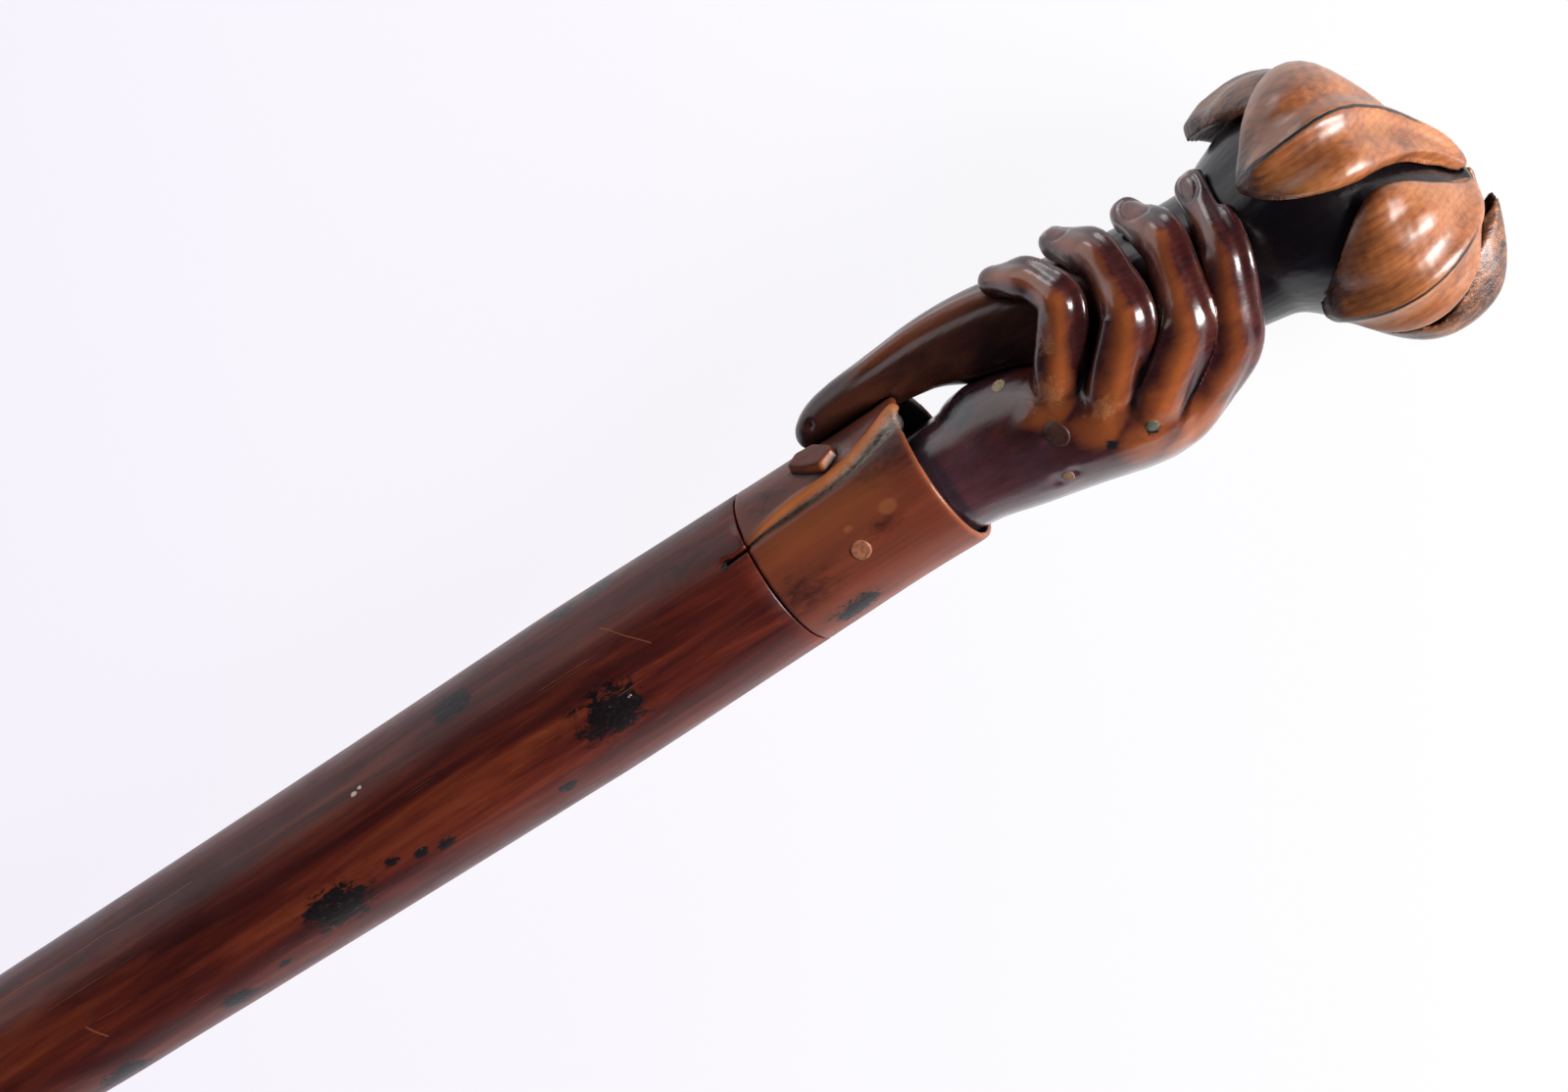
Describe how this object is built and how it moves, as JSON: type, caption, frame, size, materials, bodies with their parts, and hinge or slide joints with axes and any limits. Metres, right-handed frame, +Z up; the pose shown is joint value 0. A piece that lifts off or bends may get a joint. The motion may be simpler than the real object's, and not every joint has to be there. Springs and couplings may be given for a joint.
{
  "type": "walking stick",
  "caption": "Hardwood walking stick whose handle is carved as a hand in a buttoned cuff, gripping a curved stalk that opens into a head of folded leaves.",
  "frame": {"origin": "on the table, under the middle of the stick's box as it lies down", "axes": "+X runs along the stick from the foot towards the carved head, +Y is across, +Z is up from the table; the side of the carving that shows looks up"},
  "size_m": [0.89, 0.0554, 0.0532],
  "materials": {
    "shank_wood": "stained and varnished hardwood, glossy",
    "hand_wood": "dark stained and varnished hardwood, worn to orange on its ridges",
    "stalk_wood": "nearly black stained hardwood, glossy",
    "leaf_wood": "orange brown varnished hardwood with the grain showing",
    "peg_wood": "pale bare wood",
    "dowel_wood": "bare turned beech",
    "ferrule_brass": "dull aged brass",
    "foot_steel": "scuffed steel"
  },
  "bodies": {
    "root": {"shank": "shank_wood", "handle_dowel": "dowel_wood", "cuff": "shank_wood", "cuff_button": "shank_wood", "hand": "hand_wood", "stalk": "stalk_wood", "leaf_front": "leaf_wood", "leaf_middle": "leaf_wood", "leaf_rear": "leaf_wood", "leaf_flared": "leaf_wood", "leaf_under": "leaf_wood", "hand_peg_1": "peg_wood", "hand_peg_2": "peg_wood", "hand_peg_3": "peg_wood", "hand_peg_4": "peg_wood", "cuff_peg": "peg_wood", "ferrule": "ferrule_brass", "foot": "foot_steel", "ferrule_pin_1": "ferrule_brass", "ferrule_pin_2": "ferrule_brass"}
  },
  "joints": []
}
